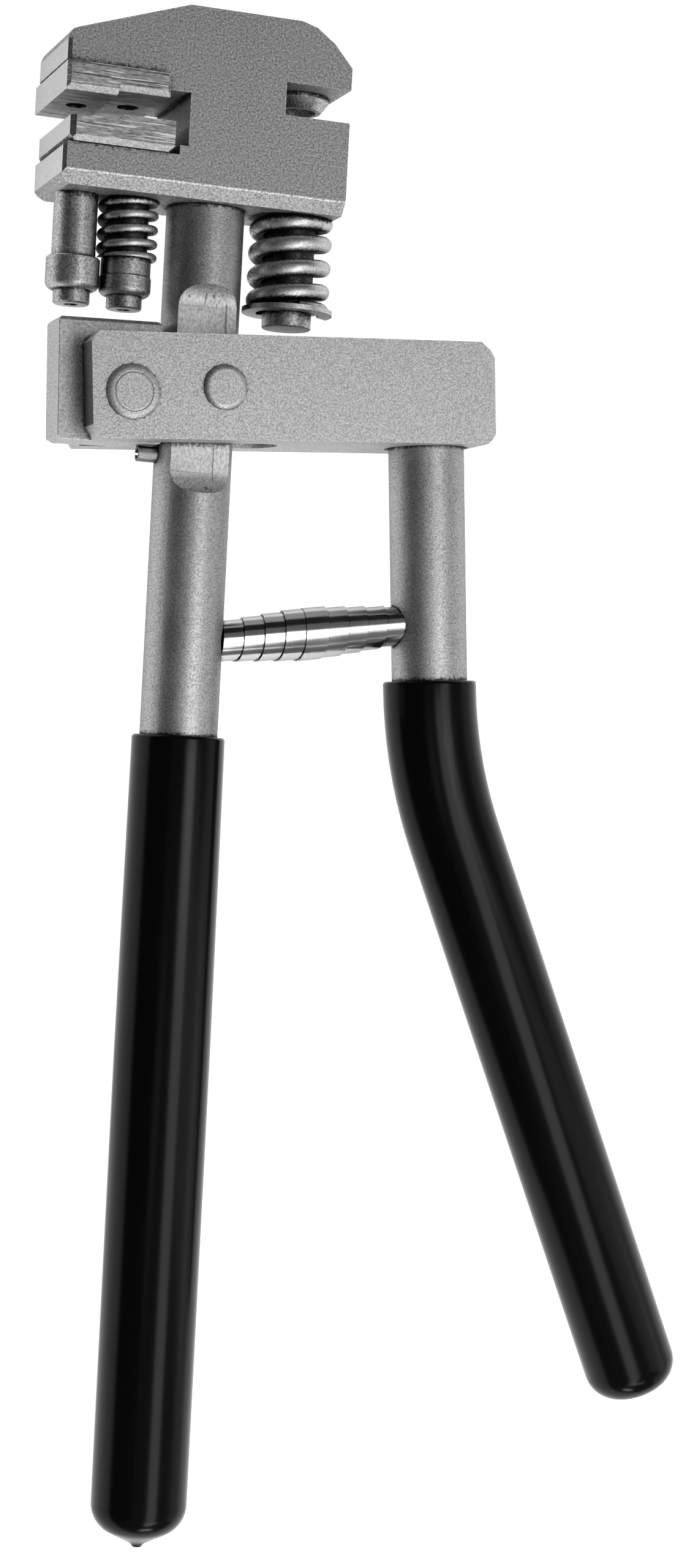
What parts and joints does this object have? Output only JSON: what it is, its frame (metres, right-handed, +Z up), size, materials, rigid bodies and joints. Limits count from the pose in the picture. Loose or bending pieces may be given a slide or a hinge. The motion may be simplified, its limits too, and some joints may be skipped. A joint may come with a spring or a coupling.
{
  "type": "flanging punch pliers",
  "caption": "Hand tool with a stepped pair of flanging jaws and a punch in a swivelling head, worked by a pivoted lever and two long handles.",
  "frame": {"origin": "under the middle of the box around the open tool, on the plane that it lies on", "axes": "+X from the jaws' side to the moving handle's side, +Y along the fixed handle from grip to head, +Z up, square to the tool's flat side"},
  "size_m": [0.191, 0.3904, 0.035],
  "materials": {
    "blasted_steel": "fine bead-blasted grey, matt",
    "milled_steel": "milled, with fine horizontal tool lines",
    "dark_steel": "darkened and tumbled, satin",
    "spring_wire": "drawn wire, satin",
    "spring_strip": "bright rolled strip",
    "bright_steel": "bright, fine drawn",
    "black_steel": "black oxide",
    "black_dip": "smooth dipped vinyl, glossy"
  },
  "bodies": {
    "fixed_frame": {"fixed_handle": "dark_steel", "fixed_grip": "black_dip", "stop_pin": "bright_steel", "head_retaining_screw": "black_steel", "head_washer": "black_steel", "handle_spring": "spring_strip"},
    "head": {"head_block": "blasted_steel", "upper_jaw": "milled_steel", "jaw_screws": "black_steel", "die_button": "dark_steel", "die_set_screw": "black_steel", "jaw_return_spring": "spring_wire", "punch_spring": "spring_wire"},
    "lower_jaw_set": {"lower_jaw": "milled_steel", "outer_plunger": "dark_steel", "outer_plunger_collar": "dark_steel", "inner_plunger": "dark_steel", "inner_plunger_sleeve": "dark_steel", "inner_plunger_nut": "dark_steel"},
    "punch_set": {"punch": "dark_steel", "punch_clip": "spring_wire"},
    "lever": {"lever_fork": "blasted_steel", "pivot_pin": "blasted_steel", "pusher_pin": "blasted_steel", "moving_handle": "dark_steel", "moving_grip": "black_dip"},
    "pusher_block": {"pusher": "blasted_steel"}
  },
  "joints": [
    {"name": "head_swivel", "type": "hinge", "parent": "fixed_frame", "child": "head", "pos_m": [-0.05364, 0.1478, 0.0175], "axis": [0, 1, 0], "range_deg": [0, 180]},
    {"name": "lever_pivot", "type": "hinge", "parent": "fixed_frame", "child": "lever", "pos_m": [-0.0507, 0.10121, 0.0175], "axis": [0, 0, -1], "range_deg": [0, 21], "stiffness_Nm_per_rad": 6, "springref_deg": -14.32, "deforming": ["handle_spring"]},
    {"name": "pusher_turn", "type": "hinge", "parent": "lever", "child": "pusher_block", "pos_m": [-0.07447, 0.0979, 0.0175], "axis": [0, 0, 1], "range_deg": [0, 19]},
    {"name": "jaw_lift", "type": "slide", "parent": "head", "child": "lower_jaw_set", "axis": [0, 1, 0], "range_m": [0, 0.0056], "stiffness_N_per_m": 1500, "springref_m": -0.004, "deforming": ["jaw_return_spring"]},
    {"name": "punch_lift", "type": "slide", "parent": "head", "child": "punch_set", "axis": [0, 1, 0], "range_m": [0, 0.00615], "stiffness_N_per_m": 3000, "springref_m": -0.004, "deforming": ["punch_spring"]}
  ],
  "couplings": [
    {"joint": "pusher_turn", "follows": "lever_pivot", "ratio": 0.9},
    {"joint": "jaw_lift", "follows": "lever_pivot", "m_per_rad": 0.015142},
    {"joint": "punch_lift", "follows": "lever_pivot", "m_per_rad": 0.016643}
  ]
}
